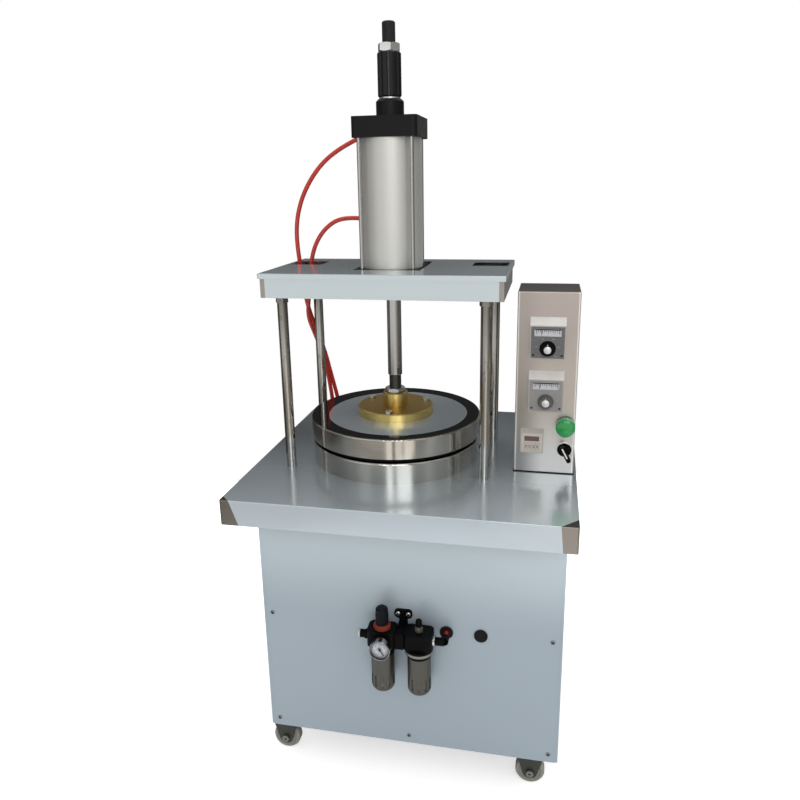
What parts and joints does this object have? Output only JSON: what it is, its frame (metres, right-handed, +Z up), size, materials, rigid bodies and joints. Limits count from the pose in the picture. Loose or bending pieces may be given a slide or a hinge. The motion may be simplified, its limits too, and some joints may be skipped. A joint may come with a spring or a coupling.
{
  "type": "dough press",
  "caption": "Floor-standing pneumatic dough press: heated round platens, a four-column platform with an air cylinder, control box, air preparation unit and wheeled cabinet.",
  "frame": {"origin": "on the floor under the middle of the worktop", "axes": "+Z up, +X to the operator's right, -Y towards the operator"},
  "size_m": [0.705, 0.6615, 1.597],
  "materials": {
    "film_faced_stainless": "satin",
    "brushed_stainless": "brushed",
    "polished_stainless": "polished",
    "ground_rod": "polished",
    "painted_plate": "satin",
    "zinc": "satin",
    "cast_aluminium": "satin",
    "drawn_aluminium": "satin",
    "black_enamel": "satin",
    "brass": "satin",
    "red_hose": "gloss",
    "black_plastic": "matte",
    "clear_plastic": "gloss",
    "guard_metal": "satin",
    "gauge_steel": "satin",
    "needle_black": "matte",
    "light_grey_plastic": "satin",
    "beige_plastic": "satin",
    "green_plastic": "gloss",
    "black_rubber": "matte",
    "caster_fork_steel": "satin",
    "caster_tread": "matte"
  },
  "bodies": {
    "frame": {"front_panel": "film_faced_stainless", "cabinet_left_panel": "film_faced_stainless", "cabinet_right_panel": "film_faced_stainless", "cabinet_back_panel": "film_faced_stainless", "table_top": "film_faced_stainless", "platform_cover": "film_faced_stainless", "control_box": "brushed_stainless", "lower_platen_shell": "polished_stainless", "column_front_left": "ground_rod", "column_front_right": "ground_rod", "column_rear_left": "ground_rod", "column_rear_right": "ground_rod", "tie_rods": "ground_rod", "platform_plate": "painted_plate", "cabinet_floor": "painted_plate", "frame_nuts": "zinc", "panel_screws": "zinc", "caster_plates": "zinc", "lower_heating_plate": "cast_aluminium", "cylinder_barrel": "drawn_aluminium", "cylinder_bottom_cap": "black_enamel", "cylinder_top_cap": "black_enamel", "rod_bush": "brass", "hose_upper": "red_hose", "hose_lower": "red_hose", "hose_supply": "red_hose", "air_unit_bodies": "black_plastic", "air_fittings": "black_plastic", "air_valve": "black_plastic", "air_unit_bracket": "black_plastic", "operator_collars": "black_plastic", "clear_bowls": "clear_plastic", "bowl_guards": "guard_metal", "gauge_case": "gauge_steel", "temperature_controllers": "light_grey_plastic", "press_timer": "beige_plastic", "grommets": "black_rubber"},
    "ram": {"piston_rod": "ground_rod", "piston": "cast_aluminium", "platen_flange": "brass", "flange_fasteners": "zinc", "upper_platen_shell": "polished_stainless", "upper_heating_plate": "cast_aluminium"},
    "stop_carrier": {"stop_washer": "zinc"},
    "stop": {"stop_sleeve": "black_enamel"},
    "upper_temperature_knob": {"upper_temperature_knob": "black_plastic"},
    "lower_temperature_knob": {"lower_temperature_knob": "black_plastic"},
    "start_button": {"start_button": "green_plastic"},
    "selector_switch": {"selector_switch": "black_plastic"},
    "regulator_knob": {"regulator_knob": "black_plastic"},
    "gauge_needle": {"gauge_needle": "needle_black"},
    "lubricator_knob": {"lubricator_knob": "black_plastic"},
    "caster_fork_front_left": {"caster_fork_front_left": "caster_fork_steel"},
    "caster_wheel_front_left": {"caster_wheel_front_left": "caster_tread"},
    "caster_fork_front_right": {"caster_fork_front_right": "caster_fork_steel"},
    "caster_wheel_front_right": {"caster_wheel_front_right": "caster_tread"},
    "caster_fork_rear_left": {"caster_fork_rear_left": "caster_fork_steel"},
    "caster_wheel_rear_left": {"caster_wheel_rear_left": "caster_tread"},
    "caster_fork_rear_right": {"caster_fork_rear_right": "caster_fork_steel"},
    "caster_wheel_rear_right": {"caster_wheel_rear_right": "caster_tread"}
  },
  "joints": [
    {"name": "press_slide", "type": "slide", "parent": "frame", "child": "ram", "axis": [0, 0, 1], "range_m": [0, 0.15]},
    {"name": "stop_advance", "type": "slide", "parent": "ram", "child": "stop_carrier", "axis": [0, 0, 1], "range_m": [0, 0.0101]},
    {"name": "stop_turn", "type": "hinge", "parent": "stop_carrier", "child": "stop", "pos_m": [-0.055, -0.01, 1.4965], "axis": [0, 0, 1], "range_deg": [0, 1800]},
    {"name": "upper_temperature_turn", "type": "hinge", "parent": "frame", "child": "upper_temperature_knob", "pos_m": [0.2825, -0.095, 0.952], "axis": [0, 1, 0], "range_deg": [0, 300]},
    {"name": "lower_temperature_turn", "type": "hinge", "parent": "frame", "child": "lower_temperature_knob", "pos_m": [0.2825, -0.095, 0.839], "axis": [0, 1, 0], "range_deg": [0, 300]},
    {"name": "start_press", "type": "slide", "parent": "frame", "child": "start_button", "axis": [0, 1, 0], "range_m": [0, 0.005], "stiffness_N_per_m": 300},
    {"name": "selector_turn", "type": "hinge", "parent": "frame", "child": "selector_switch", "pos_m": [0.325, -0.081, 0.731], "axis": [0, 1, 0], "range_deg": [0, 90]},
    {"name": "regulator_turn", "type": "hinge", "parent": "frame", "child": "regulator_knob", "pos_m": [-0.031, -0.2895, 0.42], "axis": [0, 0, 1], "range_deg": [0, 1440]},
    {"name": "gauge_sweep", "type": "hinge", "parent": "frame", "child": "gauge_needle", "pos_m": [-0.0275, -0.329, 0.372], "axis": [0, 1, 0], "range_deg": [0, 270]},
    {"name": "lubricator_turn", "type": "hinge", "parent": "frame", "child": "lubricator_knob", "pos_m": [0.046, -0.2895, 0.417], "axis": [0, 0, 1], "range_deg": [0, 360]},
    {"name": "caster_swivel_front_left", "type": "hinge", "parent": "frame", "child": "caster_fork_front_left", "pos_m": [-0.266, -0.2155, 0.08], "axis": [0, 0, 1], "continuous": true},
    {"name": "caster_roll_front_left", "type": "hinge", "parent": "caster_fork_front_left", "child": "caster_wheel_front_left", "pos_m": [-0.284, -0.2155, 0.0315], "axis": [0, 1, 0], "continuous": true},
    {"name": "caster_swivel_front_right", "type": "hinge", "parent": "frame", "child": "caster_fork_front_right", "pos_m": [0.296, -0.2155, 0.08], "axis": [0, 0, 1], "continuous": true},
    {"name": "caster_roll_front_right", "type": "hinge", "parent": "caster_fork_front_right", "child": "caster_wheel_front_right", "pos_m": [0.278, -0.2155, 0.0315], "axis": [0, 1, 0], "continuous": true},
    {"name": "caster_swivel_rear_left", "type": "hinge", "parent": "frame", "child": "caster_fork_rear_left", "pos_m": [-0.266, 0.2475, 0.08], "axis": [0, 0, 1], "continuous": true},
    {"name": "caster_roll_rear_left", "type": "hinge", "parent": "caster_fork_rear_left", "child": "caster_wheel_rear_left", "pos_m": [-0.284, 0.2475, 0.0315], "axis": [0, 1, 0], "continuous": true},
    {"name": "caster_swivel_rear_right", "type": "hinge", "parent": "frame", "child": "caster_fork_rear_right", "pos_m": [0.296, 0.2475, 0.08], "axis": [0, 0, 1], "continuous": true},
    {"name": "caster_roll_rear_right", "type": "hinge", "parent": "caster_fork_rear_right", "child": "caster_wheel_rear_right", "pos_m": [0.278, 0.2475, 0.0315], "axis": [0, 1, 0], "continuous": true}
  ],
  "couplings": [
    {"joint": "stop_advance", "follows": "stop_turn", "m_per_rad": 0.00031831}
  ]
}
